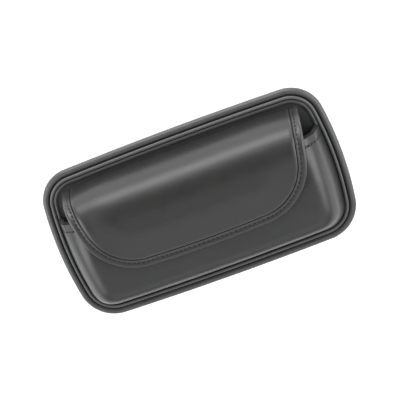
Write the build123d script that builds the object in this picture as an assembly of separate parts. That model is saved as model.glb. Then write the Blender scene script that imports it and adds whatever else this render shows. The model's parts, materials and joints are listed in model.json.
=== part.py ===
from build123d import *
from math import cos, radians, tan
import os

# Glasses organizer: a flat padded panel with a rolled rim and piping, a moulded pocket on its
# front, and a wide flap that folds over the pocket's mouth. Millimetres.
# The panel lies on its back: +Z is out of the front, +X is along the length, and +Y points to
# the side where the flap is sewn on. The origin is under the middle, on the surface it lies on.

# ---- Plan of the panel ----
LENGTH = 190.0
WIDTH = 104.0
SIDE_BOW = 5.7          # how far each short side bows out between its corners
LONG_BOW = 1.6          # the same for each long side
FLAP_CORNER_R = 21.7    # corner radius on the flap's side
FRONT_CORNER_R = 23.4   # corner radius on the opposite side

# ---- Layers of the panel, from the back up ----
BACK_LEATHER = 0.8
BACK_FOAM = 1.0
BOARD = 1.4
RIM_FLANGE = 0.4
PIPING_FLANGE = 0.4
PANEL_LEATHER = 0.9

FOAM_TOP = BACK_LEATHER + BACK_FOAM
BOARD_TOP = FOAM_TOP + BOARD
RIM_FLANGE_TOP = BOARD_TOP + RIM_FLANGE
PIPING_FLANGE_TOP = RIM_FLANGE_TOP + PIPING_FLANGE
PANEL_TOP = PIPING_FLANGE_TOP + PANEL_LEATHER

# ---- Rolled rim and piping bead ----
RIM_R = 2.3
RIM_LEATHER = 0.7
RIM_Z = BOARD_TOP
PIPING_R = 1.3
PIPING_LEATHER = 0.45
PIPING_INSET = 5.75
PIPING_Z = RIM_FLANGE_TOP + PIPING_R
FLANGE_INSET = 10.0     # how far in the sewing flanges reach
BACK_INSET = 3.6
BOARD_INSET = 2 * RIM_R
PANEL_INSET = 7.1

# ---- Pocket ----
POCKET_INSET = 7.3
POCKET_TOP = RIM_Z + 26.4
POCKET_DRAFT = 15.0     # degrees
POCKET_EDGE_R = 7.5
POCKET_LEATHER = 0.9
POCKET_EVA = 1.5
POCKET_LINING = 0.6
CORE_DEPTH = POCKET_LEATHER
LINING_DEPTH = CORE_DEPTH + POCKET_EVA
POCKET_WALL = LINING_DEPTH + POCKET_LINING
MOUTH_Y = 23.0
HEM_LIP = 1.0           # thickness of the leather over the mouth's edge
HEM_DEPTH = 8.0         # how far the turned leather reaches into the pocket
HEM_LEATHER = 0.7
HEM_STITCH = 6.0        # from the mouth's edge to the stitch line

# ---- Flap, from its lining out ----
FLAP_GAP = 0.35         # between the pocket's front and the flap's lining
FLAP_LINING = 0.7
FLAP_BOARD = 0.7
FLAP_FOAM = 0.8
FLAP_LEATHER = 0.9
FOAM_DEPTH = FLAP_LEATHER
BOARD_DEPTH = FOAM_DEPTH + FLAP_FOAM
FLAP_LINING_DEPTH = BOARD_DEPTH + FLAP_BOARD
FLAP_THICKNESS = FLAP_LINING_DEPTH + FLAP_LINING
FLAP_TOP = POCKET_TOP + FLAP_GAP + FLAP_THICKNESS
FLAP_ROOT_Y = 38.0      # outer face of the flap where it leaves the panel
FLAP_LEAN = 12.0        # degrees that the root wall leans in over the pocket
FLAP_FOLD_R = 12.0      # outer radius of the fold at the top
FLAP_SIDE = (79.5, 60.0)            # plan edge of the right half, from beyond the root
FLAP_ROOT = (78.3, 40.0)
FLAP_WAIST = (75.5, 24.0)
FLAP_CORNER_START = (72.9, 10.5)
FLAP_CORNER_END = (36.0, -18.3)
FLAP_FREE = (0.0, -19.2)
FLAP_BINDING = 1.1      # width of the binding round the free edge
FLAP_STITCH = 3.4       # from the free edge to the stitch line

# ---- Flap hinge: the leather bends just above its sewn tongue ----
HINGE_RISE = 3.0
HINGE_Z = PANEL_TOP + HINGE_RISE
HINGE_GAP = 0.3
TONGUE_LEATHER = 0.9
TONGUE_LENGTH = 8.0
TONGUE_STITCH = 4.0     # from the root to the stitch line

# ---- Thread and magnets ----
THREAD_WIDTH = 0.6
THREAD_HEIGHT = 0.3
THREAD_END = 2.0        # from the end of a seam to its first stitch
CLEAR_CUT = 1.0         # how far a cutting shape reaches past the piece it cuts
MAGNET_R = 6.0
MAGNET_X = 42.0
MAGNET_Y = -6.0
POCKET_MAGNET = 1.1
FLAP_MAGNET = 0.6
MAGNET_FIT = 0.05       # space left round each magnet

REACH = 300.0           # longer than the whole object, for trimming


# ---- Panel shapes ----

def outline(inset):
    """Plan face of the panel: four bowed sides with rounded corners, drawn in by inset."""
    half_x = LENGTH / 2 - inset
    half_y = WIDTH / 2 - inset
    corner_x = half_x - SIDE_BOW
    corner_y = half_y - LONG_BOW
    sides = [
        ThreePointArc((-corner_x, -corner_y), (0, -half_y), (corner_x, -corner_y)),
        ThreePointArc((corner_x, -corner_y), (half_x, 0), (corner_x, corner_y)),
        ThreePointArc((corner_x, corner_y), (0, half_y), (-corner_x, corner_y)),
        ThreePointArc((-corner_x, corner_y), (-half_x, 0), (-corner_x, -corner_y)),
    ]
    face = make_face(sides)
    face = fillet([v for v in face.vertices() if v.Y > 0], FLAP_CORNER_R - inset)
    sharp = [v for v in face.vertices() if v.Y < 0]
    return fillet(sharp, FRONT_CORNER_R - inset).face()


def slab(inset, bottom, thickness):
    """Plate of the panel's plan shape."""
    return Pos(0, 0, bottom) * extrude(outline(inset), amount=thickness)


def cord(inset, height, radius):
    """Closed round cord that runs along the plan outline."""
    path = Pos(0, 0, height) * outline(inset).outer_wire()
    section = Plane(origin=path @ 0, z_dir=path % 0) * Circle(radius)
    return sweep(section, path=path)


def flange(inset, bottom, thickness):
    """Flat sewing allowance that lies on the panel, from inset to FLANGE_INSET."""
    return slab(inset, bottom, thickness) - slab(FLANGE_INSET, bottom, thickness)


def wrapped_cord(inset, height, radius, leather, allowance):
    """Leather tube round a cord, with its sewing allowance."""
    return cord(inset, height, radius) + allowance - cord(inset, height, radius - leather)


def y_band(y_low, y_high, z_low=0.0, z_high=REACH):
    """Block that spans the whole length between two distances along Y."""
    block = Box(REACH, y_high - y_low, z_high - z_low)
    return Pos(0, (y_low + y_high) / 2, (z_low + z_high) / 2) * block


# ---- Pocket shapes ----

def pocket_form(depth):
    """Solid under the surface that lies depth inside the pocket's outer skin."""
    rise = POCKET_TOP - PANEL_TOP - depth
    foot = Pos(0, 0, PANEL_TOP) * outline(POCKET_INSET + depth)
    form = extrude(foot, amount=rise, taper=POCKET_DRAFT)
    rim = form.faces().sort_by(Axis.Z)[-1].edges()
    return fillet(rim, POCKET_EDGE_R - depth)


def pocket_layer(outer, inner, y_low, y_high):
    """Shell between two depths of the pocket, between two distances along Y."""
    return (pocket_form(outer) - pocket_form(inner)) & y_band(y_low, y_high)


# ---- Flap shapes ----

def flap_form(depth):
    """Solid under the surface that lies depth inside the flap's outer face."""
    lean = radians(FLAP_LEAN)
    top = FLAP_TOP - depth
    foot_y = FLAP_ROOT_Y - depth / cos(lean)
    head_y = foot_y - (top - PANEL_TOP) * tan(lean)
    corners = [(-WIDTH, PANEL_TOP), (foot_y, PANEL_TOP), (head_y, top), (-WIDTH, top)]
    section = Plane.YZ * make_face(Polyline(*corners, close=True))
    form = extrude(section, amount=LENGTH / 2, both=True)
    along = form.edges().filter_by(Axis.X)
    fold = [e for e in along if e.center().Z > PANEL_TOP + 1 and e.center().Y > 0]
    return fillet(fold, FLAP_FOLD_R - depth)


def flap_plan(inset):
    """Plan face of the flap, drawn in by inset: converging sides, round corners, flat free edge."""
    side = ThreePointArc(FLAP_ROOT, FLAP_WAIST, FLAP_CORNER_START)
    corner = TangentArc(FLAP_CORNER_START, FLAP_CORNER_END, tangent=side % 1)
    right = [Line(FLAP_SIDE, FLAP_ROOT), side, corner]
    left = [mirror(edge, about=Plane.YZ) for edge in right]
    free = ThreePointArc(FLAP_CORNER_END, FLAP_FREE, (-FLAP_CORNER_END[0], FLAP_CORNER_END[1]))
    root = Line(FLAP_SIDE, (-FLAP_SIDE[0], FLAP_SIDE[1]))
    face = make_face(right + left + [free, root])
    return offset(face, amount=-inset) if inset else face


def flap_layer(outer, inner, inset, z_low=HINGE_Z + HINGE_GAP):
    """Shell between two depths of the flap, above z_low and inside its plan drawn in by inset."""
    column = Pos(0, 0, z_low) * extrude(flap_plan(inset), amount=REACH)
    return (flap_form(outer) - flap_form(inner)) & column


# ---- Small shapes ----

def disc_pair(bottom, thickness, radius=MAGNET_R):
    """Two flat discs, left and right."""
    disc = Cylinder(radius, thickness, align=(Align.CENTER, Align.CENTER, Align.MIN))
    return Pos(-MAGNET_X, MAGNET_Y, bottom) * disc + Pos(MAGNET_X, MAGNET_Y, bottom) * disc


# ---- Panel ----

def back_cover():
    """Leather skin over the back, with a softened lower edge."""
    skin = slab(BACK_INSET, 0, BACK_LEATHER)
    lower_edge = skin.faces().sort_by(Axis.Z)[0].edges()
    return fillet(lower_edge, BACK_LEATHER / 2)


def back_foam():
    return slab(BOARD_INSET, BACK_LEATHER, BACK_FOAM)


def base_board():
    return slab(BOARD_INSET, FOAM_TOP, BOARD)


def rim_cord():
    return cord(RIM_R, RIM_Z, RIM_R - RIM_LEATHER)


def rim_cover():
    allowance = flange(BOARD_INSET - RIM_LEATHER / 2, BOARD_TOP, RIM_FLANGE)
    return wrapped_cord(RIM_R, RIM_Z, RIM_R, RIM_LEATHER, allowance)


def piping_cord():
    return cord(PIPING_INSET, PIPING_Z, PIPING_R - PIPING_LEATHER)


def piping_cover():
    allowance = flange(PIPING_INSET, RIM_FLANGE_TOP, PIPING_FLANGE)
    return wrapped_cord(PIPING_INSET, PIPING_Z, PIPING_R, PIPING_LEATHER, allowance)


def inner_panel():
    """Leather panel inside the piping: the back wall of the pocket."""
    return slab(PANEL_INSET, PIPING_FLANGE_TOP, PANEL_LEATHER)


# ---- Pocket ----

def pocket_cover():
    return pocket_layer(0, CORE_DEPTH, -WIDTH, MOUTH_Y - HEM_LIP)


def pocket_core():
    """Moulded shell with a seat for each magnet in its inner face."""
    shell = pocket_layer(CORE_DEPTH, LINING_DEPTH, -WIDTH, MOUTH_Y - HEM_LIP)
    seat_bottom = POCKET_TOP - LINING_DEPTH
    return shell - disc_pair(seat_bottom, POCKET_MAGNET + MAGNET_FIT, MAGNET_R + MAGNET_FIT)


def pocket_magnets():
    return disc_pair(POCKET_TOP - LINING_DEPTH, POCKET_MAGNET)


def pocket_lining():
    return pocket_layer(LINING_DEPTH, POCKET_WALL, -WIDTH, MOUTH_Y - HEM_LIP)


def mouth_hem():
    """Leather over the mouth's edge, turned back along the inside of the pocket."""
    lip = pocket_layer(0, POCKET_WALL, MOUTH_Y - HEM_LIP, MOUTH_Y)
    turned = pocket_layer(POCKET_WALL, POCKET_WALL + HEM_LEATHER, MOUTH_Y - HEM_DEPTH, MOUTH_Y)
    return lip + turned


def mouth_thread():
    """Line of stitching that lies on the pocket beside its mouth."""
    middle = MOUTH_Y - HEM_STITCH
    return pocket_layer(-THREAD_HEIGHT, 0, middle - THREAD_WIDTH / 2, middle + THREAD_WIDTH / 2)


# ---- Flap ----

def flap_tongue():
    """Sewn end of the flap: flat on the panel, then up to the bend."""
    upright = flap_layer(0, TONGUE_LEATHER, 0, PANEL_TOP) & y_band(0, WIDTH, 0, HINGE_Z - HINGE_GAP)
    foot_y = FLAP_ROOT_Y - TONGUE_LENGTH
    half = FLAP_WAIST[0]
    foot = Box(2 * half, TONGUE_LENGTH, TONGUE_LEATHER)
    foot = Pos(0, foot_y + TONGUE_LENGTH / 2 - TONGUE_LEATHER / 2, PANEL_TOP + TONGUE_LEATHER / 2) * foot
    return upright + foot


def tongue_thread():
    """Line of stitching on the tongue's foot."""
    seam = Box(2 * (FLAP_WAIST[0] - THREAD_END), THREAD_WIDTH, THREAD_HEIGHT)
    height = PANEL_TOP + TONGUE_LEATHER + THREAD_HEIGHT / 2
    return Pos(0, FLAP_ROOT_Y - TONGUE_STITCH, height) * seam


def flap_outer():
    return flap_layer(0, FOAM_DEPTH, FLAP_BINDING)


def flap_padding():
    """Foam under the outer leather, with a hole over each magnet."""
    foam = flap_layer(FOAM_DEPTH, BOARD_DEPTH, FLAP_BINDING)
    return foam - disc_pair(FLAP_TOP - BOARD_DEPTH - MAGNET_FIT, FLAP_FOAM, MAGNET_R + MAGNET_FIT)


def flap_magnets():
    return disc_pair(FLAP_TOP - BOARD_DEPTH, FLAP_MAGNET)


def flap_board():
    return flap_layer(BOARD_DEPTH, FLAP_LINING_DEPTH, FLAP_BINDING)


def flap_lining():
    return flap_layer(FLAP_LINING_DEPTH, FLAP_THICKNESS, FLAP_BINDING)


def flap_binding():
    """Leather binding round the free edge, as thick as the flap."""
    middle = flap_layer(-CLEAR_CUT, FLAP_THICKNESS + CLEAR_CUT, FLAP_BINDING)
    return flap_layer(0, FLAP_THICKNESS, 0) - middle


def flap_thread():
    """Line of stitching that lies on the flap, round its free edge."""
    outer = flap_layer(-THREAD_HEIGHT, 0, FLAP_STITCH - THREAD_WIDTH / 2)
    return outer - flap_layer(-CLEAR_CUT, CLEAR_CUT, FLAP_STITCH + THREAD_WIDTH / 2)


PIECES = [
    back_cover, back_foam, base_board, rim_cord, rim_cover, piping_cord, piping_cover, inner_panel,
    pocket_cover, pocket_core, pocket_magnets, pocket_lining, mouth_hem, mouth_thread,
    flap_tongue, tongue_thread,
    flap_outer, flap_padding, flap_magnets, flap_board, flap_lining, flap_binding, flap_thread,
]

os.makedirs("parts", exist_ok=True)
for piece in PIECES:
    export_step(piece(), f"parts/{piece.__name__}.step")
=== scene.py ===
import json
from math import atan2, cos, hypot, pi, radians, sin, sqrt, tan

import bmesh
import bpy
import numpy as np
from mathutils import Matrix, Vector


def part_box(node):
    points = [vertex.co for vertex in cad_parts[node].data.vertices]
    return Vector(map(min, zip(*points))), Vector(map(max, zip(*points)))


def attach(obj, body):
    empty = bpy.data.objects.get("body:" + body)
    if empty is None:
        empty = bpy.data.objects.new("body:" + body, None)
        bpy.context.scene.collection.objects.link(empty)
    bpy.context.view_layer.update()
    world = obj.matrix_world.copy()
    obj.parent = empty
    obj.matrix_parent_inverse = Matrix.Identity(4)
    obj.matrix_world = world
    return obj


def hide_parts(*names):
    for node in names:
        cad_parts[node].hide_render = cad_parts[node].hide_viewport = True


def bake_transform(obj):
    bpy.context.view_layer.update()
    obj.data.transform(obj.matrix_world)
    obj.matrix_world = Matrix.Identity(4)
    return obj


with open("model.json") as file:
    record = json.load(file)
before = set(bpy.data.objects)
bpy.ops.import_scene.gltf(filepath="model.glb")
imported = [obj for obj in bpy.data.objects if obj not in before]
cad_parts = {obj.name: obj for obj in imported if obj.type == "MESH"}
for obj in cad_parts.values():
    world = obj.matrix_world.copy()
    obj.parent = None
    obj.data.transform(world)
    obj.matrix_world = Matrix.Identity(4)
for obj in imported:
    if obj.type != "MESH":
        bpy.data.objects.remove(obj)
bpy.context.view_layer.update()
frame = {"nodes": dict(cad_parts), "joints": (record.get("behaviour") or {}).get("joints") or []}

# A leather glasses organizer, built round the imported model. Lengths are in millimetres until a
# mesh is made, and +Z is out of the front, +X along the length, +Y towards the flap's seam.

MM = 0.001


def limits(node):
    """Lowest and highest corner of a CAD node, in millimetres."""
    return [np.array(corner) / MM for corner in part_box(node)]


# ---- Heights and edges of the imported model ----

RIM_LOW, RIM_HIGH = limits("rim_cover")
BOARD_TOP = limits("base_board")[1][2]
PIPING_TOP = limits("piping_cover")[1][2]
PANEL_TOP = limits("inner_panel")[1][2]
POCKET_TOP = limits("pocket_cover")[1][2]
MOUTH_Y = limits("mouth_hem")[1][1]
FLAP_TOP = limits("flap_outer")[1][2]
HINGE = np.array(frame["joints"][0]["pos_m"]) / MM

# ---- Plan outline: how far its sides bow out, and its corners ----

SIDE_BOW = 5.7
LONG_BOW = 1.6
FLAP_CORNER_R = 21.7
FRONT_CORNER_R = 23.4
OUTLINE_POINTS = 760

# ---- Rim, piping and panels; an inset is measured in from the outline ----
# DIMPLE_POINTS is the number of outline points from one dimple of the bead to the next.

RIM_R = (RIM_HIGH[2] - RIM_LOW[2]) / 2
RIM_Z = BOARD_TOP
RIM_SIDES = 40
PIPING_R = 1.18
PIPING_INSET = 5.75
PIPING_Z = PIPING_TOP - PIPING_R
DIMPLE_POINTS = 3.8
PANEL_EDGE = 7.0

# ---- Pocket: its ends lean less and are rounder than its front ----
# HEM_ROW and HEM_REACH are the spacing and the reach of the extra rows of points at the mouth.

POCKET_INSET = 7.3
POCKET_END_DRAFT = radians(16.0)
POCKET_END_R = 15.0
POCKET_FRONT_DRAFT = radians(20.0)
POCKET_FRONT_R = 8.0
POCKET_ROUNDING = 5.0
POCKET_MIDDLE = np.array([0.0, -4.0])
POCKET_WALL = 3.0
LEATHER = 0.85
CORE_THICKNESS = 1.3
LINING_THICKNESS = 0.5
HEM_DEPTH = 8.0
HEM_STITCH = 6.0
HEM_ROW = 0.25
HEM_REACH = 12.0
MOUTH_SAG = 2.6
SAG_REACH = 20.0
SAG_FROM_Z = 18.0

# ---- Flap: stitch, crease and layers are measured in from its free edge ----
# UNSEWN_POINTS is the number of edge points at each end of the root without stitches.

FLAP_THICKNESS = 3.1
HALF_THICK = FLAP_THICKNESS / 2
FLAP_EDGE_R = 1.35
FLAP_LEAN = radians(12.0)
FLAP_ROOT_Y = HINGE[1] + (HINGE[2] - PANEL_TOP) * tan(FLAP_LEAN)
FLAP_FOLD_LENGTH = 36.0
FRONT_REACH = 60.0
FLAP_STITCH = 3.4
FLAP_CREASE = 5.35
UNSEWN_POINTS = 14
LAYER_INSET = 1.4
LAYER_ROOT = 2.0
LINING_ROOT = 1.5
TONGUE_HALF = 75.0
TONGUE_BACK_Y = FLAP_ROOT_Y - 8.5
TONGUE_SEAM = 4.0

# Plan of the flap's edge: points (x, y) on its right side, right corner and front.
FLAP_SIDE_ARC = ((78.3, 40.0), (75.5, 24.0), (72.9, 10.5))
FLAP_CORNER_ARC = ((72.9, 10.5), (60.6, -9.6), (36.0, -18.3))
FLAP_FRONT_ARC = ((36.0, -18.3), (0.0, -19.2), (-36.0, -18.3))

# Distances of the rows of points along the flap's border, closest at the edge and the crease.
BORDER = (0, 0.12, 0.3, 0.55, 0.85, 1.2, 1.6, 2.1, 2.6, 2.85, 3.05, 3.25, 3.45, 3.65, 3.85, 4.1, 4.4,
          4.7, 4.95, 5.1, 5.22, 5.35, 5.48, 5.62, 5.85, 6.2, 6.7, 7.3, 8.0)
SIDE_POINTS = 130
FREE_POINTS = 210
EDGE_POINTS = 2 * SIDE_POINTS + FREE_POINTS + 1

# ---- Stitches ----

STITCH_PITCH = 3.0
STITCH_LENGTH = 2.2
STITCH_WIDTH = 0.75
STITCH_SLANT = 0.12

# ---- Tone of the leather, from 0 (painted shade, deep in a seam) to 1 (painted highlight, on an edge) ----
# The two shades multiply the leather's colour at tone 0 and 1 to paint the shade and the highlights,
# and it turns matt below MATT_BELOW.

PLAIN_TONE = 0.5
PAINTED_SHADE_TONE = 0.05
PAINTED_SHADE_FACTOR = 0.08
PAINTED_HIGHLIGHT_FACTOR = 3.2
MATT_BELOW = 0.45


# ---- Mesh helpers ----

def add_mesh(name, points, faces, material, body="case", shade=PLAIN_TONE):
    """Smooth-shaded mesh object from points in millimetres; shade is the leather's tone, which paints
    shade and highlights into its colour.
    """
    mesh = bpy.data.meshes.new(name)
    mesh.from_pydata([tuple(p * MM) for p in np.asarray(points, float)], [], faces)
    tone = mesh.attributes.new("tone", "FLOAT", "POINT")
    tone.data.foreach_set("value", np.broadcast_to(shade, len(mesh.vertices)))
    mesh.materials.append(material)
    piece = bpy.data.objects.new(name, mesh)
    bpy.context.scene.collection.objects.link(piece)
    tidy_mesh(piece)
    if body:
        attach(piece, body)
    return piece


def open_mesh(piece):
    """A piece's mesh, ready to edit."""
    work = bmesh.new()
    work.from_mesh(piece.data)
    return work


def close_mesh(work, piece):
    """Writes an edited mesh back to its piece."""
    work.to_mesh(piece.data)
    work.free()


def tidy_mesh(piece, merge=0.002):
    """Joins points that meet, and turns every face outwards."""
    work = open_mesh(piece)
    bmesh.ops.remove_doubles(work, verts=work.verts, dist=merge * MM)
    bmesh.ops.recalc_face_normals(work, faces=work.faces)
    for face in work.faces:
        face.smooth = True
    close_mesh(work, piece)


def thicken(piece, thickness):
    """Gives a sheet its thickness and leaves a closed mesh; a negative one goes outwards."""
    solid = piece.modifiers.new("thickness", "SOLIDIFY")
    solid.thickness = thickness * MM
    solid.offset = -1
    graph = bpy.context.evaluated_depsgraph_get()
    mesh = bpy.data.meshes.new_from_object(piece.evaluated_get(graph))
    piece.modifiers.clear()
    piece.data = mesh


def grid_faces(rows, columns, close_rows=False, close_columns=False):
    """Quads of a grid of points that are listed row by row."""
    faces = []
    for i in range(rows if close_rows else rows - 1):
        for j in range(columns if close_columns else columns - 1):
            a, b = i % rows, (i + 1) % rows
            c, d = j % columns, (j + 1) % columns
            faces.append((a * columns + c, a * columns + d, b * columns + d, b * columns + c))
    return faces


def travelled(points):
    """Distance along a line of points, at each of them."""
    steps = np.linalg.norm(np.diff(points, axis=0), axis=1)
    return np.concatenate([[0], np.cumsum(steps)])


def at_distance(rows, distances, wanted):
    """Rows of values interpolated at the wanted distances."""
    return np.column_stack([np.interp(wanted, distances, column) for column in rows.T])


def unit(vectors):
    """The same directions with length 1."""
    return vectors / np.linalg.norm(vectors, axis=-1, keepdims=True)


def line_at(xs, y, z):
    """Points along X at one y and z."""
    return np.column_stack([xs, np.full(len(xs), y), np.full(len(xs), z)])


def smooth_step(value, low, high):
    """0 below low, 1 above high, and smooth between."""
    t = np.clip((value - low) / (high - low), 0, 1)
    return t * t * (3 - 2 * t)


def ridge(value, centre, width):
    """Bell of height 1 at centre."""
    return np.exp(-((value - centre) / width) ** 2)


def ripple(points, scale, seed, waves=6):
    """Gentle unevenness between -1 and 1, the same in each run."""
    rng = np.random.default_rng(seed)
    total = np.zeros(len(points))
    for _ in range(waves):
        direction = rng.normal(size=3)
        direction *= 2 * pi / (scale * np.linalg.norm(direction))
        total += np.sin(points @ direction + rng.uniform(0, 2 * pi))
    return total / waves


# ---- Plan outline of the panel ----

def crossing(centre_a, radius_a, centre_b, radius_b):
    """Crossing point of two circles that has positive x and y."""
    gap = centre_b - centre_a
    distance = hypot(*gap)
    along = (distance**2 + radius_a**2 - radius_b**2) / (2 * distance)
    height = sqrt(radius_a**2 - along**2)
    foot = centre_a + gap * along / distance
    side = np.array([-gap[1], gap[0]]) * height / distance
    return max(foot + side, foot - side, key=lambda p: min(p))


def quarter_arcs(radius):
    """Arcs of the outline from +X round to +Y, as centre, radius, and first and last angle."""
    half_x, half_y = RIM_HIGH[0], RIM_HIGH[1]
    corner_x, corner_y = half_x - SIDE_BOW, half_y - LONG_BOW
    side_r = (corner_y**2 + SIDE_BOW**2) / (2 * SIDE_BOW)
    long_r = (corner_x**2 + LONG_BOW**2) / (2 * LONG_BOW)
    side_c = np.array([half_x - side_r, 0.0])
    long_c = np.array([0.0, half_y - long_r])
    corner = crossing(side_c, side_r - radius, long_c, long_r - radius)
    first = atan2(*(corner - side_c)[::-1])
    last = atan2(*(corner - long_c)[::-1])
    return [(side_c, side_r, 0, first), (corner, radius, first, last), (long_c, long_r, last, pi / 2)]


def quarter(radius, samples=400):
    """Points of one quarter of the outline, each with its outward direction."""
    rows = []
    for centre, arc_r, first, last in quarter_arcs(radius):
        for angle in np.linspace(first, last, samples, endpoint=False):
            direction = np.array([cos(angle), sin(angle)])
            rows.append([*(centre + arc_r * direction), *direction])
    return np.array(rows)


def outline(count):
    """Evenly spaced points of the outline, anticlockwise from +X, with outward directions."""
    top, front = quarter(FLAP_CORNER_R), quarter(FRONT_CORNER_R)
    parts = []
    for flip_x, flip_y, source in ((1, 1, top), (-1, 1, top), (-1, -1, front), (1, -1, front)):
        part = source * (flip_x, flip_y, flip_x, flip_y)
        parts.append(part if flip_x * flip_y > 0 else part[::-1])
    closed = np.vstack([*parts, parts[0][:1]])
    distance = travelled(closed[:, :2])
    even = at_distance(closed, distance, np.linspace(0, distance[-1], count, endpoint=False))
    return even[:, :2], unit(even[:, 2:])


OUTLINE, OUTWARD = outline(OUTLINE_POINTS)


def outline_ring(inset, height):
    """Closed ring of points at one inset and height; each may be a number or one per point."""
    plan = OUTLINE - OUTWARD * np.reshape(inset, (-1, 1))
    return np.column_stack([plan, np.broadcast_to(height, len(plan))])


def tube_round(name, inset, height, radii, material, shade, sides=24):
    """Closed roll of leather round the panel; radii holds its half width at each point.

    shade gives the leather's tone, with its painted shade and highlights, at each angle round the roll;
    the angle is 0 towards the panel's middle.
    """
    angles = np.linspace(-pi, pi, sides, endpoint=False)
    rings = [outline_ring(inset + radii * cos(a), height + radii * sin(a)) for a in angles]
    tone = np.repeat(shade(angles), len(OUTLINE))
    faces = grid_faces(sides, len(OUTLINE), close_rows=True, close_columns=True)
    return add_mesh(name, np.vstack(rings), faces, material, shade=tone)


# ---- Materials ----

NOISE = "ShaderNodeTexNoise"
PEBBLE_SCALE = 2600.0
MOTTLE_SCALE = 140.0

# Sockets of a Mix node that mixes colours.
MIX_FACTOR, MIX_A, MIX_B, MIX_RESULT = 0, 6, 7, 2


def new_material(name, colour, roughness, specular=0.5):
    """Material with its node tree and its shader."""
    material = bpy.data.materials.new(name)
    material.use_nodes = True
    shader = material.node_tree.nodes["Principled BSDF"]
    shader.inputs["Base Color"].default_value = (*colour, 1)
    shader.inputs["Roughness"].default_value = roughness
    shader.inputs["Specular IOR Level"].default_value = specular
    return material, material.node_tree, shader


def texture(tree, kind, scale, **inputs):
    """Procedural texture node that reads the piece's own coordinates."""
    place = tree.nodes.new("ShaderNodeTexCoord")
    node = tree.nodes.new(kind)
    tree.links.new(place.outputs["Object"], node.inputs["Vector"])
    node.inputs["Scale"].default_value = scale
    for key, value in inputs.items():
        node.inputs[key].default_value = value
    return node


def tone_of(tree):
    """The leather's tone, as add_mesh stored it."""
    node = tree.nodes.new("ShaderNodeAttribute")
    node.attribute_name = "tone"
    return node.outputs["Fac"]


def ramp(tree, source, low, high, source_top=1.0):
    """Maps the range from 0 to source_top to the range from low to high."""
    node = tree.nodes.new("ShaderNodeMapRange")
    node.inputs["From Max"].default_value = source_top
    node.inputs["To Min"].default_value = low
    node.inputs["To Max"].default_value = high
    tree.links.new(source, node.inputs["Value"])
    return node.outputs["Result"]


def bump(tree, source, strength, distance, below=None):
    """Surface direction with the source as relief, distance millimetres deep, over another relief."""
    node = tree.nodes.new("ShaderNodeBump")
    node.inputs["Strength"].default_value = strength
    node.inputs["Distance"].default_value = distance * MM
    tree.links.new(source, node.inputs["Height"])
    if below:
        tree.links.new(below, node.inputs["Normal"])
    return node.outputs["Normal"]


def painted_light_and_mottle(tree, shader, source, shade):
    """Leather colour with painted shade in the seams, painted highlights on the edges, and slight
    mottling.
    """
    tone = tree.nodes.new("ShaderNodeValToRGB")
    tone.color_ramp.elements[0].color = (*shade * PAINTED_SHADE_FACTOR, 1)
    tone.color_ramp.elements[1].color = (*shade * PAINTED_HIGHLIGHT_FACTOR, 1)
    tone.color_ramp.elements.new(PLAIN_TONE).color = (*shade, 1)
    tree.links.new(tone_of(tree), tone.inputs["Fac"])
    mottle = tree.nodes.new("ShaderNodeMix")
    mottle.data_type = "RGBA"
    mottle.blend_type = "MULTIPLY"
    mottle.inputs[MIX_FACTOR].default_value = 1.0
    tree.links.new(tone.outputs["Color"], mottle.inputs[MIX_A])
    tree.links.new(ramp(tree, source, 0.86, 1.14), mottle.inputs[MIX_B])
    tree.links.new(mottle.outputs[MIX_RESULT], shader.inputs["Base Color"])


def leather(name, shade, roughness, grain=0.25):
    """Smooth coated leather: fine pebble grain, soft unevenness and slightly varied gloss."""
    shade = np.array(shade)
    material, tree, shader = new_material(name, shade, roughness)
    cells = texture(tree, "ShaderNodeTexVoronoi", PEBBLE_SCALE)
    cells.feature = "DISTANCE_TO_EDGE"
    fine = texture(tree, NOISE, PEBBLE_SCALE * 1.9, Detail=3.0)
    broad = texture(tree, NOISE, MOTTLE_SCALE, Detail=4.0, Roughness=0.6)
    grained = bump(tree, cells.outputs["Distance"], grain, 0.05)
    grained = bump(tree, fine.outputs["Fac"], grain, 0.03, grained)
    uneven = bump(tree, broad.outputs["Fac"], 0.10, 0.5, grained)
    tree.links.new(uneven, shader.inputs["Normal"])
    painted_light_and_mottle(tree, shader, broad.outputs["Fac"], shade)
    gloss = tree.nodes.new("ShaderNodeMath")
    gloss.operation = "MULTIPLY"
    matt_in_seams = ramp(tree, tone_of(tree), 0.95, roughness, MATT_BELOW)
    tree.links.new(matt_in_seams, gloss.inputs[0])
    tree.links.new(ramp(tree, broad.outputs["Fac"], 0.9, 1.1), gloss.inputs[1])
    tree.links.new(gloss.outputs[0], shader.inputs["Roughness"])
    return material


def speckled(name, shade, roughness, scale, detail, relief, spread, specular=0.5):
    """Material whose colour and surface both follow one fine noise.

    relief is the bump's strength and depth, and spread is how far the colour varies.
    """
    shade = np.array(shade)
    material, tree, shader = new_material(name, shade, roughness, specular)
    noise = texture(tree, NOISE, scale, Detail=detail).outputs["Fac"]
    tree.links.new(bump(tree, noise, *relief), shader.inputs["Normal"])
    mix = tree.nodes.new("ShaderNodeMix")
    mix.data_type = "RGBA"
    mix.inputs[MIX_A].default_value = (*shade * (1 - spread), 1)
    mix.inputs[MIX_B].default_value = (*shade * (1 + spread), 1)
    tree.links.new(noise, mix.inputs[MIX_FACTOR])
    tree.links.new(mix.outputs[MIX_RESULT], shader.inputs["Base Color"])
    return material, shader


def microfibre(name, shade):
    """Brushed lining cloth."""
    material, shader = speckled(name, shade, 0.95, 3200.0, 4.0, (0.5, 0.08), 0.4, specular=0.2)
    shader.inputs["Sheen Weight"].default_value = 0.35
    shader.inputs["Sheen Roughness"].default_value = 0.4
    return material


def thread(name, shade):
    """Twisted sewing thread."""
    return speckled(name, shade, 0.6, 5200.0, 2.0, (0.6, 0.06), 0.4, specular=0.35)[0]


def plain_core(name, shade, roughness, metal=0.0):
    """Foam, board or metal of the inner pieces, with a faint speckle."""
    material, shader = speckled(name, shade, roughness, 900.0, 3.0, (0.3, 0.05), 0.2)
    shader.inputs["Metallic"].default_value = metal
    return material


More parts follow.
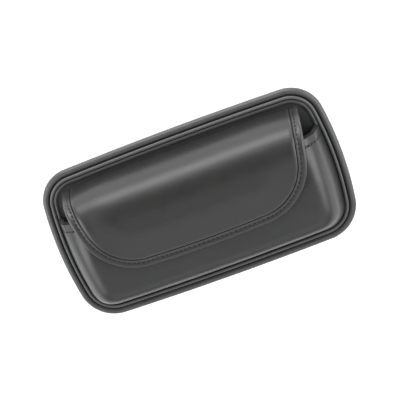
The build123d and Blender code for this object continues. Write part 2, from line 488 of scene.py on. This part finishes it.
CASE_LEATHER = leather("case_leather", (0.0195, 0.0198, 0.0208), 0.37)
# A lighter copy of the case leather: painted light for the bright reflections on the rim, also used on
# the piping and the groove floor.
RIM_LEATHER_PAINTED_LIGHTER = leather("rim_leather_painted_lighter", (0.046, 0.046, 0.047), 0.38, grain=0.35)
FLAP_LEATHER = leather("flap_leather", (0.0200, 0.0197, 0.0194), 0.37)
LINING = microfibre("lining_cloth", (0.040, 0.040, 0.043))
THREAD = thread("sewing_thread", (0.006, 0.006, 0.006))
FOAM = plain_core("foam", (0.08, 0.08, 0.08), 0.9)
EVA = plain_core("eva_sheet", (0.03, 0.03, 0.03), 0.8)
BOARD = plain_core("board", (0.04, 0.04, 0.04), 0.6)
MAGNET = plain_core("nickel", (0.55, 0.54, 0.52), 0.25, metal=1.0)


# ---- Rim and piping ----

def rim_painted_light_and_shade(angles):
    """Painted shade beside the piping's groove, and a touch of painted light over the rest of the roll.
    """
    return PAINTED_SHADE_TONE + 0.5 * smooth_step(np.abs(angles), 0.5, 1.3)


def bead_painted_light_and_shade(angles):
    """Painted highlight along the top of the bead, and painted shade down in the grooves."""
    return PAINTED_SHADE_TONE + 0.6 * smooth_step(np.sin(angles), 0.1, 0.8)


def build_rim():
    """Rolled leather rim with slight unevenness where it was pulled round the cord."""
    mid = outline_ring(RIM_R, RIM_Z)
    radii = RIM_R * (1 + 0.012 * ripple(mid, 26, seed=3) + 0.008 * ripple(mid, 7, seed=4))
    rim = tube_round("rim_roll", RIM_R, RIM_Z, radii, RIM_LEATHER_PAINTED_LIGHTER, rim_painted_light_and_shade, RIM_SIDES)
    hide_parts("rim_cover")


def build_piping():
    """Bead of leather round a thin cord, dimpled by the seam beside it."""
    mid = outline_ring(PIPING_INSET, PIPING_Z)
    dimples = 0.5 + 0.5 * np.cos(np.arange(len(mid)) * 2 * pi / DIMPLE_POINTS)
    radii = PIPING_R * (1 + 0.02 * ripple(mid, 18, seed=5) - 0.015 * dimples)
    bead = tube_round("piping_bead", PIPING_INSET, PIPING_Z, radii, RIM_LEATHER_PAINTED_LIGHTER,
                      bead_painted_light_and_shade)
    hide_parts("piping_cover")


def build_seam_floor():
    """Sewing allowances that close the grooves beside the bead, painted at the darkest tone as shade
    down in the grooves.
    """
    upper = [(2.6, -0.5), (4.2, 0.1), (5.7, 0.3), (7.6, 0.5)]
    lower = [(7.6, -0.1), (2.6, -1.0)]
    rings = [outline_ring(inset, RIM_Z + rise) for inset, rise in upper + lower]
    faces = grid_faces(len(rings), len(OUTLINE), close_rows=True, close_columns=True)
    add_mesh("seam_allowance", np.vstack(rings), faces, RIM_LEATHER_PAINTED_LIGHTER, shade=PAINTED_SHADE_TONE)


# ---- Panels ----

def build_plate(name, upper, lower, material, tones=None):
    """Closed plate between two lists of (inset, height) that start at its edge.

    tones holds the leather's tone at each ring, from the last of lower to the last of upper.
    """
    layers = [outline_ring(inset, height) for inset, height in lower[::-1] + upper]
    count = len(OUTLINE)
    stacks = list(layers)
    faces = grid_faces(len(layers), count, close_columns=True)
    total = len(layers) * count
    for first_row in (0, len(layers) - 1):
        edge = layers[first_row]
        previous = first_row * count
        for share in (0.86, 0.7, 0.52, 0.34, 0.16):
            stacks.append(edge * (share, share, 1))
            for j in range(count):
                k = (j + 1) % count
                faces.append((previous + j, previous + k, total + k, total + j))
            previous = total
            total += count
        stacks.append(edge[:1] * (0, 0, 1))
        faces += [(previous + j, previous + (j + 1) % count, total) for j in range(count)]
        total += 1
    tones = np.repeat(tones or [PLAIN_TONE] * len(layers), count)
    shade = np.concatenate([tones, np.full(total - len(tones), tones[-1])])
    return add_mesh(name, np.vstack(stacks), faces, material, shade=shade)


def build_inner_panel():
    """Leather panel inside the piping, with a rolled edge: painted shade at its foot and a painted
    highlight along its crest.
    """
    roll = [(0.0, -0.9), (0.03, -0.4), (0.12, 0.0), (0.35, 0.42), (0.75, 0.70), (1.2, 0.78),
            (1.7, 0.70), (2.3, 0.42), (2.9, 0.14), (3.5, 0.02), (4.2, 0.0)]
    upper = [(PANEL_EDGE + inward, PANEL_TOP + lift) for inward, lift in roll]
    lower = [(PANEL_EDGE, PANEL_TOP - 0.9), (PANEL_EDGE + 4.0, PANEL_TOP - 0.95)]
    # The tones paint shade at the roll's foot beside the groove and beyond it, and a highlight along
    # its crest.
    tones = [0.5, 0.5, 0.1, 0.1, 0.25, 0.5, 0.75, 0.85, 0.75, 0.5, 0.3, 0.3, 0.35]
    panel = build_plate("front_panel", upper, lower, CASE_LEATHER, tones)
    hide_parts("inner_panel")


def build_back():
    """Padded back: drawn in at the seam under the rim and flat where it lies."""
    lower = [(3.4, RIM_Z - 1.4), (3.6, 1.1), (4.0, 0.62), (4.8, 0.30), (6.2, 0.10), (7.0, 0.16),
             (7.5, 0.34), (8.0, 0.14), (9.0, 0.04), (12.0, 0.0)]
    upper = [(12.0, RIM_Z - 1.5)]
    back = build_plate("back_panel", upper, lower, CASE_LEATHER)
    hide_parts("back_cover")


# ---- Pocket ----

def pocket_stations(depth):
    """Inset and height of each ring of the pocket's wall and rounding, at one depth.

    The front side leans further in and has a tighter rounding than the two ends.
    """
    endwise = OUTWARD[:, 0] ** 2
    draft = POCKET_FRONT_DRAFT + (POCKET_END_DRAFT - POCKET_FRONT_DRAFT) * endwise
    radius = POCKET_FRONT_R + (POCKET_END_R - POCKET_FRONT_R) * endwise - depth
    foot = POCKET_INSET + depth
    foot_z = PANEL_TOP + 0.4
    centre_z = POCKET_TOP - depth - radius
    centre_inset = foot + (centre_z - PANEL_TOP) * np.tan(draft) + radius / np.cos(draft)
    below = [(np.full_like(draft, foot - out), np.full_like(draft, PANEL_TOP - down))
             for out, down in ((0.25, 0.8), (0.12, 0.2))]
    rounding = []
    for t in np.linspace(0, 1, 18):
        angle = draft + (pi / 2 - draft) * t
        rounding.append((centre_inset - radius * np.cos(angle), centre_z + radius * np.sin(angle)))
    first_inset, first_z = rounding[0]
    wall = [(foot + (first_inset - foot) * t, foot_z + (first_z - foot_z) * t)
            for t in np.linspace(0, 1, 8)[:-1]]
    return below + wall + rounding


def evenly(ring):
    """Closed ring with its points spread evenly along it."""
    closed = np.vstack([ring, ring[:1]])
    distance = travelled(closed)
    return at_distance(closed, distance, np.linspace(0, distance[-1], len(ring), endpoint=False))


def rounded(ring, width):
    """Closed ring with its corners eased by a bell-shaped average, width millimetres wide."""
    count = len(ring)
    spacing = np.linalg.norm(np.diff(ring, axis=0), axis=1).mean()
    steps = np.minimum(np.arange(count), count - np.arange(count))
    weights = np.exp(-0.5 * (steps * spacing / max(width, 0.01)) ** 2)
    spectrum = np.fft.fft(weights / weights.sum())[:, None]
    return np.real(np.fft.ifft(np.fft.fft(ring, axis=0) * spectrum, axis=0))


def pocket_rings(depth):
    """Rings of the pocket's wall and rounding; its corners grow rounder with height."""
    rings = []
    for inset, height in pocket_stations(depth):
        share = np.clip((height.mean() - PANEL_TOP) / (POCKET_TOP - PANEL_TOP), 0, 1)
        rings.append(rounded(evenly(outline_ring(inset, height)), POCKET_ROUNDING * share))
    return rings


def pocket_surface(depth, top_rings=28):
    """Whole bowl of the pocket, closed over the top, as points and faces."""
    count = len(OUTLINE)
    rings = pocket_rings(depth)
    edge = rings[-1]
    centre = np.array([[*POCKET_MIDDLE, edge[0, 2]]])
    for share in np.linspace(1, 0, top_rings + 2)[1:-1]:
        ring = edge.copy()
        ring[:, :2] = POCKET_MIDDLE + (edge[:, :2] - POCKET_MIDDLE) * share
        rings.append(ring)
    faces = grid_faces(len(rings), count, close_columns=True)
    last = (len(rings) - 1) * count
    faces += [(last + j, last + (j + 1) % count, last + count) for j in range(count)]
    return np.vstack([*rings, centre]), faces


def cut_at(work, y, discard=False):
    """Cuts a mesh across at one y, and can drop what lies beyond."""
    everything = list(work.verts) + list(work.edges) + list(work.faces)
    bmesh.ops.bisect_plane(work, geom=everything, plane_co=(0, y * MM, 0), plane_no=(0, 1, 0),
                           clear_outer=discard)


def mouth_sag(points):
    """How far the pocket's front gives way towards its mouth, in millimetres."""
    near_mouth = 1 - smooth_step(MOUTH_Y - points[:, 1], 0, SAG_REACH)
    near_top = smooth_step(points[:, 2], SAG_FROM_Z, POCKET_TOP - 4)
    return MOUTH_SAG * near_mouth * near_top


def sag_towards_mouth(work):
    """Lowers the pocket's front by its sag."""
    coords = np.array([v.co / MM for v in work.verts])
    for vertex, drop in zip(work.verts, mouth_sag(coords)):
        vertex.co.z -= drop * MM


def hem_relief(points):
    """How far the pocket's leather stands proud at each point, in millimetres."""
    from_mouth = MOUTH_Y - points[:, 1]
    height = points[:, 2]
    groove = -0.28 * ridge(from_mouth, HEM_STITCH, 0.45)
    fold = 0.22 * ridge(from_mouth, HEM_STITCH - 3.0, 2.2)
    beyond = 0.12 * ridge(from_mouth, HEM_STITCH + 1.2, 0.6)
    crown = 0.9 * smooth_step(height, POCKET_TOP - 6, POCKET_TOP)
    crown *= smooth_step(from_mouth, 8, 30)
    waves = 0.12 * ripple(points, 34, seed=11) + 0.03 * ripple(points, 9, seed=12)
    waves *= smooth_step(height, PANEL_TOP + 1, PANEL_TOP + 8)
    return groove + fold + beyond + crown + waves


def build_pocket():
    """Outer leather of the pocket, turned over the mouth's edge and back along the inside."""
    points, faces = pocket_surface(0)
    piece = add_mesh("pocket_leather", points, faces, CASE_LEATHER)
    work = open_mesh(piece)
    lip = POCKET_WALL / 2
    edge_y = MOUTH_Y - lip
    cut_at(work, edge_y, discard=True)
    for step in np.arange(HEM_ROW, HEM_REACH, HEM_ROW):
        cut_at(work, edge_y - step)
    bmesh.ops.recalc_face_normals(work, faces=work.faces)
    work.normal_update()
    heights = hem_relief(np.array([v.co / MM for v in work.verts]))
    normals = [v.normal.copy() for v in work.verts]
    for vertex, normal, height in zip(work.verts, normals, heights):
        vertex.co += normal * height * MM
    sag_towards_mouth(work)
    border = [e for e in work.edges if e.is_boundary and
              all(abs(v.co.y / MM - edge_y) < 0.2 for v in e.verts)]
    turn_over_edge(work, border, lip)
    close_mesh(work, piece)
    tidy_mesh(piece)
    thicken(piece, LEATHER)
    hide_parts("pocket_cover", "mouth_hem")


def turn_over_edge(work, border, lip):
    """Adds the rounded lip and the leather turned back inside, along the mouth's border."""
    verts = list(dict.fromkeys(v for e in border for v in e.verts))
    start = {v: v.co.copy() for v in verts}
    out = {}
    for v in verts:
        normal = v.normal.copy()
        normal.y = 0
        out[v] = normal.normalized()
    steps = [(lip * (1 - cos(a)), lip * sin(a)) for a in np.linspace(0, pi, 13)[1:]]
    steps += [(2 * lip + 0.02, -t) for t in np.linspace(0.8, HEM_DEPTH, 9)]
    current = {v: v for v in verts}
    for inward, forward in steps:
        made = {}
        for v in verts:
            place = start[v] - out[v] * inward * MM + Vector((0, forward * MM, 0))
            made[v] = work.verts.new(place)
        for e in border:
            a, b = e.verts
            work.faces.new((current[a], current[b], made[b], made[a]))
        current = made


def pocket_layer(name, depth, mouth_y, thickness, material):
    """Sheet inside the pocket's leather, open at the mouth."""
    points, faces = pocket_surface(depth)
    piece = add_mesh(name, points, faces, material)
    work = open_mesh(piece)
    cut_at(work, mouth_y, discard=True)
    sag_towards_mouth(work)
    close_mesh(work, piece)
    tidy_mesh(piece)
    thicken(piece, thickness)
    return piece


def build_pocket_core():
    """Moulded foam sheet between the pocket's leather and its lining."""
    piece = pocket_layer("pocket_core_foam", LEATHER + 0.15, MOUTH_Y - POCKET_WALL, CORE_THICKNESS,
                         EVA)
    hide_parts("pocket_core")


def build_pocket_lining():
    """Soft lining of the pocket, from the turned hem down; it thickens outwards."""
    piece = pocket_layer("pocket_lining_cloth", POCKET_WALL + 0.05, MOUTH_Y - HEM_DEPTH + 1,
                         -LINING_THICKNESS, LINING)
    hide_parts("pocket_lining")


# ---- Stitching ----

def stitch_shape(rings=7, sides=8):
    """Points and faces of one stitch along X, its ends dipping into the leather."""
    points = []
    for t in np.linspace(-1, 1, rings):
        radius = STITCH_WIDTH / 2 * sqrt(max(1 - t**4, 0.02))
        drop = -0.35 * STITCH_WIDTH * t**4
        for a in np.linspace(0, 2 * pi, sides, endpoint=False):
            points.append((t * STITCH_LENGTH / 2, radius * cos(a), drop + radius * sin(a)))
    faces = grid_faces(rings, sides, close_columns=True)
    faces.append(tuple(range(sides))[::-1])
    faces.append(tuple(range((rings - 1) * sides, rings * sides)))
    return np.array(points), faces


def sew(name, route, normals, body):
    """Row of stitches along a route of close points with outward normals."""
    distance = travelled(route)
    count = int(distance[-1] / STITCH_PITCH)
    at = (np.arange(count) + 0.5) * distance[-1] / count
    centres = at_distance(route, distance, at)
    ways = at_distance(route, distance, at + 0.5) - at_distance(route, distance, at - 0.5)
    ups = unit(at_distance(normals, distance, at))
    shape, shape_faces = stitch_shape()
    points, faces = [], []
    for i, (centre, way, up) in enumerate(zip(centres, ways, ups)):
        along = unit(way - up * (way @ up))
        across = np.cross(up, along)
        turned = np.array([along + STITCH_SLANT * across, across - STITCH_SLANT * along, up])
        points.append(centre + shape @ turned)
        faces += [tuple(i * len(shape) + k for k in face) for face in shape_faces]
    return add_mesh(name, np.vstack(points), faces, THREAD, body)


def pocket_contour(y):
    """Points and normals across the pocket at one y, from the left foot over to the right foot."""
    right = []
    for ring in pocket_rings(0):
        half = ring[ring[:, 0] > 0]
        half = half[np.argsort(half[:, 1])]
        if half[0, 2] > PANEL_TOP:
            reach, height = [np.interp(y, half[:, 1], half[:, k]) for k in (0, 2)]
            right.append((reach, y, height))
    right = np.array(right)
    left = right * (-1, 1, 1)
    span = np.linspace(-1, 1, 60)[1:-1]
    top = line_at(span * right[-1, 0], y, right[-1, 2])
    route = np.vstack([left, top, right[::-1]])
    tangent = np.gradient(route, axis=0)
    return route, unit(np.column_stack([-tangent[:, 2], np.zeros(len(route)), tangent[:, 0]]))


def build_mouth_stitches():
    """Stitches of the pocket's hem, slightly sunk into their groove."""
    route, normals = pocket_contour(MOUTH_Y - HEM_STITCH)
    route = route - normals * 0.12
    route[:, 2] -= mouth_sag(route)
    stitches = sew("mouth_stitches", route, normals, "case")
    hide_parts("mouth_thread")


# ---- Flap ----

def flap_section(step=0.2):
    """Arc length, y, z and outward normal along the flap's outer face, from root to beyond its edge."""
    turned = np.arange(0, FLAP_FOLD_LENGTH, step)
    fold = FLAP_LEAN + (pi / 2 - FLAP_LEAN) * smooth_step(turned, 0, FLAP_FOLD_LENGTH)
    wall_height = FLAP_TOP - PANEL_TOP - np.cos(fold).sum() * step
    wall = np.full(int(wall_height / cos(FLAP_LEAN) / step), FLAP_LEAN)
    front = np.full(int(FRONT_REACH / step), pi / 2)
    angle = np.concatenate([wall, fold, front])
    y = FLAP_ROOT_Y - np.cumsum(np.sin(angle)) * step
    z = FLAP_TOP - np.cos(angle).sum() * step + np.cumsum(np.cos(angle)) * step
    return np.column_stack([np.arange(len(angle)) * step, y, z, np.cos(angle), np.sin(angle)])


SECTION = flap_section()


def on_flap(x, s, height):
    """Point of the flap at x and arc length s, lifted by height along the normal."""
    y, z, ny, nz = at_distance(SECTION[:, 1:], SECTION[:, 0], s).T
    return np.column_stack([x, y + ny * height, z + nz * height])


def flap_normal(s):
    """Outward directions of the flap's face at arc lengths s."""
    return np.column_stack([np.zeros(len(s)), at_distance(SECTION[:, 3:], SECTION[:, 0], s)])


def arc_through(first, middle, last, samples):
    """Points of the circular arc through three points."""
    (ax, ay), (bx, by), (cx, cy) = first, middle, last
    d = 2 * (ax * (by - cy) + bx * (cy - ay) + cx * (ay - by))
    a2, b2, c2 = ax * ax + ay * ay, bx * bx + by * by, cx * cx + cy * cy
    ux = (a2 * (by - cy) + b2 * (cy - ay) + c2 * (ay - by)) / d
    uy = (a2 * (cx - bx) + b2 * (ax - cx) + c2 * (bx - ax)) / d
    angles = np.unwrap([atan2(y - uy, x - ux) for x, y in (first, middle, last)])
    sweep = np.linspace(angles[0], angles[2], samples)
    radius = hypot(ax - ux, ay - uy)
    return np.column_stack([ux + radius * np.cos(sweep), uy + radius * np.sin(sweep)])


def flap_edge(easing=12):
    """Evenly spaced points (x, s) of the flap's free edge, from the left root to the right root."""
    side = arc_through(*FLAP_SIDE_ARC, 60)
    corner = arc_through(*FLAP_CORNER_ARC, 80)
    front = arc_through(*FLAP_FRONT_ARC, 80)
    side = side[side[:, 1] < FLAP_ROOT_Y]
    root = np.array([[side[0, 0] + 0.1, FLAP_ROOT_Y]])
    right = np.vstack([root, side, corner[1:]])
    left = (right * (-1, 1))[::-1]
    plan = np.vstack([right[:-1], front, left[1:]])[::-1]
    order = np.argsort(SECTION[:, 1])
    s = np.interp(plan[:, 1], SECTION[order, 1], SECTION[order, 0])
    edge = np.column_stack([plan[:, 0], s])
    distance = travelled(edge)
    even = at_distance(edge, distance, np.linspace(0, distance[-1], EDGE_POINTS))
    for _ in range(easing):
        even[1:-1] = (even[:-2] + 2 * even[1:-1] + even[2:]) / 4
    return even


def distance_from(edge, points, chunk=4000):
    """Distance of each point from the nearest point of an edge, worked out a chunk at a time."""
    nearest = []
    for start in range(0, len(points), chunk):
        gaps = points[start:start + chunk, None] - edge[None]
        nearest.append(np.hypot(gaps[..., 0], gaps[..., 1]).min(axis=1))
    return np.concatenate(nearest)


def flap_grid():
    """All points (x, s) of the flap, each one's distance from the free edge, the faces, and root line.

    Rows follow the free edge through the border, and a grid of blended lines fills the middle.
    """
    edge = flap_edge()
    tangent = unit(np.gradient(edge, axis=0))
    inward = np.column_stack([tangent[:, 1], -tangent[:, 0]])
    inward[[0, -1], 1] = 0
    rows = [edge + inward * d for d in BORDER]
    for row in rows:
        row[[0, -1], 1] = 0
    faces = grid_faces(len(BORDER), EDGE_POINTS)
    inner = rows[-1]
    left = inner[:SIDE_POINTS + 1]
    bottom = inner[SIDE_POINTS:SIDE_POINTS + FREE_POINTS + 1]
    right = inner[SIDE_POINTS + FREE_POINTS:][::-1]
    u = np.linspace(0, 1, FREE_POINTS + 1)[:, None]
    top = left[0] * (1 - u) + right[0] * u
    last_row = (len(BORDER) - 1) * EDGE_POINTS
    index = {}
    middle = []
    for i in range(SIDE_POINTS + 1):
        v = i / SIDE_POINTS
        line = (1 - v) * top + v * bottom + (1 - u) * left[i] + u * right[i]
        line -= (1 - v) * ((1 - u) * top[0] + u * top[-1])
        line -= v * ((1 - u) * bottom[0] + u * bottom[-1])
        for j in range(FREE_POINTS + 1):
            if j == 0:
                index[i, j] = last_row + i
            elif j == FREE_POINTS:
                index[i, j] = last_row + EDGE_POINTS - 1 - i
            elif i == SIDE_POINTS:
                index[i, j] = last_row + SIDE_POINTS + j
            else:
                index[i, j] = last_row + EDGE_POINTS + len(middle)
                middle.append(line[j])
    middle = np.array(middle)
    for i in range(SIDE_POINTS):
        for j in range(FREE_POINTS):
            faces.append((index[i, j], index[i, j + 1], index[i + 1, j + 1], index[i + 1, j]))
    distance = np.concatenate([np.repeat(BORDER, EDGE_POINTS), distance_from(edge, middle)])
    border_ends = [r * EDGE_POINTS for r in range(len(BORDER) - 1)]
    root_line = border_ends + [index[0, j] for j in range(FREE_POINTS + 1)]
    root_line += [end + EDGE_POINTS - 1 for end in border_ends[::-1]]
    return np.vstack([*rows, middle]), distance, faces, root_line


GRID, EDGE_DISTANCE, GRID_FACES, ROOT_LINE = flap_grid()


def edge_fall(distance):
    """How far the flap's rounded edge falls away near the free edge."""
    t = np.clip(1 - distance / FLAP_EDGE_R, 0, 1)
    return HALF_THICK * (1 - np.sqrt(1 - t**2))


def flap_relief(distance, points):
    """Height of the flap's outer face: margin, stitch groove, welt, crease and padded middle."""
    margin = 0.14 * ridge(distance, 1.7, 0.9)
    groove = -0.16 * ridge(distance, FLAP_STITCH, 0.5)
    welt = 0.20 * ridge(distance, 4.5, 0.4)
    crease = -0.55 * ridge(distance, FLAP_CREASE, 0.30)
    pad = 0.45 * smooth_step(distance, FLAP_CREASE, FLAP_CREASE + 2.6)
    pad += 1.4 * smooth_step(distance, 4, 25)
    waves = 0.10 * ripple(points, 48, seed=21) + 0.03 * ripple(points, 13, seed=22)
    waves *= smooth_step(distance, 4, 16)
    return margin + groove + welt + crease + pad + waves - edge_fall(distance)


def flap_painted_light_and_shade(distance):
    """Painted shade in the crease, and painted highlights on the edge, the margin, the welt and inside
    the crease.
    """
    dark = 0.48 * ridge(distance, FLAP_CREASE, 0.32)
    pale = 0.30 * ridge(distance, 0.4, 0.6) + 0.32 * ridge(distance, FLAP_CREASE + 0.85, 0.4)
    pale += 0.10 * ridge(distance, 2.3, 1.6) + 0.16 * ridge(distance, 4.45, 0.4)
    return np.clip(PLAIN_TONE - dark + pale, 0, 1)


def flap_sheet(name, upper, lower, material, s_start=0.0):
    """Closed solid between two heights over the flap's plan, from arc length s_start on."""
    x, s = GRID[:, 0], GRID[:, 1]
    s = s_start + s * (1 - s_start / s.max())
    count = len(GRID)
    points = np.vstack([on_flap(x, s, upper), on_flap(x, s, lower)])
    faces = GRID_FACES + [tuple(i + count for i in face[::-1]) for face in GRID_FACES]
    for line in (ROOT_LINE, range(EDGE_POINTS)):
        for a, b in zip(line, line[1:]):
            faces.append((a, b, b + count, a + count))
    # Painted shade in the crease and painted highlights along the edge, margin and welt.
    tone = np.tile(flap_painted_light_and_shade(EDGE_DISTANCE), 2)
    return add_mesh(name, points, faces, material, body=None, shade=tone)


def bend_at_hinge(piece):
    """Bakes a flap piece's placement into its mesh."""
    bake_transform(piece)


def build_flap():
    """Outer leather of the flap, and the lining that meets it in the middle of the edge."""
    rest = on_flap(GRID[:, 0], GRID[:, 1], 0)
    upper = flap_relief(EDGE_DISTANCE, rest)
    seam = np.full(len(GRID), -HALF_THICK)
    outer = flap_sheet("flap_leather_cover", upper, seam, FLAP_LEATHER)
    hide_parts("flap_outer", "flap_binding")
    bend_at_hinge(outer)
    below = -FLAP_THICKNESS + edge_fall(EDGE_DISTANCE)
    under = flap_sheet("flap_lining_cloth", seam - 0.01, below, LINING, LINING_ROOT)
    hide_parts("flap_lining")
    bend_at_hinge(under)


def build_flap_layers():
    """Foam and board inside the flap, each drawn in from the turned edge.

    A layer's numbers are its depth below the outer face and its thickness.
    """
    x, s = GRID[:, 0], np.maximum(GRID[:, 1], LAYER_ROOT)
    kept = [face for face in GRID_FACES if min(EDGE_DISTANCE[i] for i in face) > LAYER_INSET]
    layers = [("flap_foam_layer", 0.95, 0.7, FOAM, "foam", "flap_padding"),
              ("flap_board_layer", 1.7, 0.6, BOARD, "board", "flap_board")]
    for name, depth, thickness, material, slot, node in layers:
        layer = add_mesh(name, on_flap(x, s, -depth), kept, material, body=None)
        face_upwards(layer)
        thicken(layer, thickness)
        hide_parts(node)
        bend_at_hinge(layer)


def face_upwards(piece):
    """Drops the points that no face uses, and turns the sheet's faces up."""
    work = open_mesh(piece)
    loose = [v for v in work.verts if not v.link_faces]
    bmesh.ops.delete(work, geom=loose, context="VERTS")
    if sum(f.normal.z for f in work.faces) < 0:
        bmesh.ops.reverse_faces(work, faces=work.faces)
    close_mesh(work, piece)


def stitch_line(lift):
    """Route and normals of the flap's stitching, lifted from its outer face, short of the root."""
    row = int(np.argmin(np.abs(np.array(BORDER) - FLAP_STITCH)))
    x, s = GRID[row * EDGE_POINTS:(row + 1) * EDGE_POINTS][UNSEWN_POINTS:-UNSEWN_POINTS].T
    return on_flap(x, s, lift), flap_normal(s)


def build_flap_stitches():
    """The flap's stitching, on its outer face and under its lining."""
    route, normals = stitch_line(-0.16)
    stitches = sew("flap_stitches", route, normals, "flap")
    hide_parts("flap_thread")
    route, normals = stitch_line(-FLAP_THICKNESS - 0.05)
    sew("flap_inner_stitches", route, -normals, "flap")


def build_tongue(columns=80):
    """Sewn foot of the flap, flat on the panel behind the bend, with its stitching."""
    xs = np.linspace(-TONGUE_HALF, TONGUE_HALF, columns)
    section = [(0.0, 0.0), (0.0, 0.55), (0.4, 0.85), (3.2, 0.88), (TONGUE_SEAM, 0.72), (4.8, 0.88),
               (7.2, 0.9), (7.6, 0.0)]
    rows = [line_at(xs, TONGUE_BACK_Y + forward, PANEL_TOP + rise) for forward, rise in section]
    faces = grid_faces(len(section), columns, close_rows=True)
    faces.append(tuple(range(0, columns * len(section), columns)))
    faces.append(tuple(range(columns - 1, columns * len(section), columns))[::-1])
    tongue = add_mesh("flap_tongue_foot", np.vstack(rows), faces, FLAP_LEATHER)
    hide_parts("flap_tongue")
    seam = line_at(xs[1:-1], TONGUE_BACK_Y + TONGUE_SEAM, PANEL_TOP + 0.85)
    up = np.tile((0.0, 0.0, 1.0), (len(seam), 1))
    stitches = sew("tongue_stitches", seam, up, "case")
    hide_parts("tongue_thread")


# ---- Finishes of the inner CAD pieces ----

def finish_cad_pieces():
    """Procedural materials for the inner pieces that stay as the CAD made them."""
    finishes = {
        "back_foam": FOAM, "rim_cord": FOAM, "piping_cord": FOAM, "base_board": BOARD,
        "pocket_magnets": MAGNET, "flap_magnets": MAGNET,
    }
    for node, material in finishes.items():
        mesh = frame["nodes"][node].data
        mesh.materials.clear()
        mesh.materials.append(material)


# ---- Camera, floor and light ----

CAMERA_AT = np.array([87.2, 206.9, 741.8 + RIM_Z])
CAMERA_AIM = np.array([0.0, 0.0, RIM_Z])
CAMERA_ROLL = 0.380
CAMERA_SHIFT = (0.0009, 0.0099)
FOCAL_LENGTH = 110.9
SENSOR_WIDTH = 36.0
LIGHT_AIM = np.array([0.0, 0.0, 10.0])
WORLD_STRENGTH = 0.65
ZENITH_SHADE = 0.02
ZENITH_FROM = 0.55
FLOOR_HALF = 6000.0
FLOOR_Z = -0.2
FLOOR_GLOW = 0.3


def build_camera():
    """Camera above the flap's side, turned so that the case lies aslant in the picture."""
    back = unit(CAMERA_AT - CAMERA_AIM)
    right = unit(np.cross((0, 1, 0), back))
    up = np.cross(back, right)
    screen_right = cos(CAMERA_ROLL) * right - sin(CAMERA_ROLL) * up
    screen_up = sin(CAMERA_ROLL) * right + cos(CAMERA_ROLL) * up
    data = bpy.data.cameras.new("camera")
    data.lens = FOCAL_LENGTH
    data.sensor_width = SENSOR_WIDTH
    data.clip_start = 0.01
    data.shift_x, data.shift_y = CAMERA_SHIFT
    camera = bpy.data.objects.new("camera", data)
    turn = Matrix((screen_right, screen_up, back)).transposed()
    camera.matrix_world = Matrix.Translation(Vector(CAMERA_AT * MM)) @ turn.to_4x4()
    bpy.context.scene.collection.objects.link(camera)
    bpy.context.scene.camera = camera


def softbox(name, place, size, energy):
    """Soft rectangular light towards the case, left out of the picture itself."""
    data = bpy.data.lights.new(name, "AREA")
    data.shape = "RECTANGLE"
    data.size, data.size_y = size[0] * MM, size[1] * MM
    data.energy = energy
    light = bpy.data.objects.new(name, data)
    direction = Vector(LIGHT_AIM - np.array(place))
    light.rotation_euler = direction.to_track_quat("-Z", "Y").to_euler()
    light.location = Vector(np.array(place) * MM)
    light.visible_camera = False
    bpy.context.scene.collection.objects.link(light)


def build_world():
    """Surroundings that are white at the horizon and dark overhead, as round a light table."""
    world = bpy.data.worlds.new("studio")
    world.use_nodes = True
    tree = world.node_tree
    place = tree.nodes.new("ShaderNodeTexCoord")
    split = tree.nodes.new("ShaderNodeSeparateXYZ")
    tree.links.new(place.outputs["Generated"], split.inputs["Vector"])
    fade = ramp(tree, split.outputs["Z"], 1.0, ZENITH_SHADE, ZENITH_FROM)
    fade.node.interpolation_type = "SMOOTHSTEP"
    tree.links.new(fade, tree.nodes["Background"].inputs["Color"])
    tree.nodes["Background"].inputs["Strength"].default_value = WORLD_STRENGTH
    bpy.context.scene.world = world


def build_lights():
    """One softbox at each end, two behind the flap's side and two in front; millimetres and watts."""
    bpy.context.scene.view_settings.view_transform = "Standard"
    softbox("left_softbox", (-520, 40, 360), (560, 360), 3.4)
    softbox("right_softbox", (520, 40, 360), (560, 360), 3.7)
    softbox("flap_softbox", (0, 620, 230), (700, 300), 3.8)
    softbox("flap_high_softbox", (0, 540, 400), (700, 380), 1.2)
    softbox("front_softbox", (0, -500, 400), (900, 300), 1.3)
    softbox("front_high_softbox", (0, -300, 640), (700, 220), 0.8)


def build_floor():
    """Plain pale floor, well beyond the view and just below the back."""
    material, _, shader = new_material("pale_floor", (0.9, 0.9, 0.9), 0.9, specular=0.1)
    shader.inputs["Emission Color"].default_value = (1, 1, 1, 1)
    shader.inputs["Emission Strength"].default_value = FLOOR_GLOW
    corners = [(-1, -1), (1, -1), (1, 1), (-1, 1)]
    points = [(x * FLOOR_HALF * MM, y * FLOOR_HALF * MM, FLOOR_Z * MM) for x, y in corners]
    mesh = bpy.data.meshes.new("floor")
    mesh.from_pydata(points, [], [(0, 1, 2, 3)])
    mesh.materials.append(material)
    floor = bpy.data.objects.new("floor", mesh)
    bpy.context.scene.collection.objects.link(floor)


build_camera()
build_world()
build_lights()
build_floor()
build_rim()
build_piping()
build_seam_floor()
build_inner_panel()
build_back()
build_pocket()
build_pocket_core()
build_pocket_lining()
build_mouth_stitches()
build_flap()
build_flap_layers()
build_flap_stitches()
build_tongue()
finish_cad_pieces()
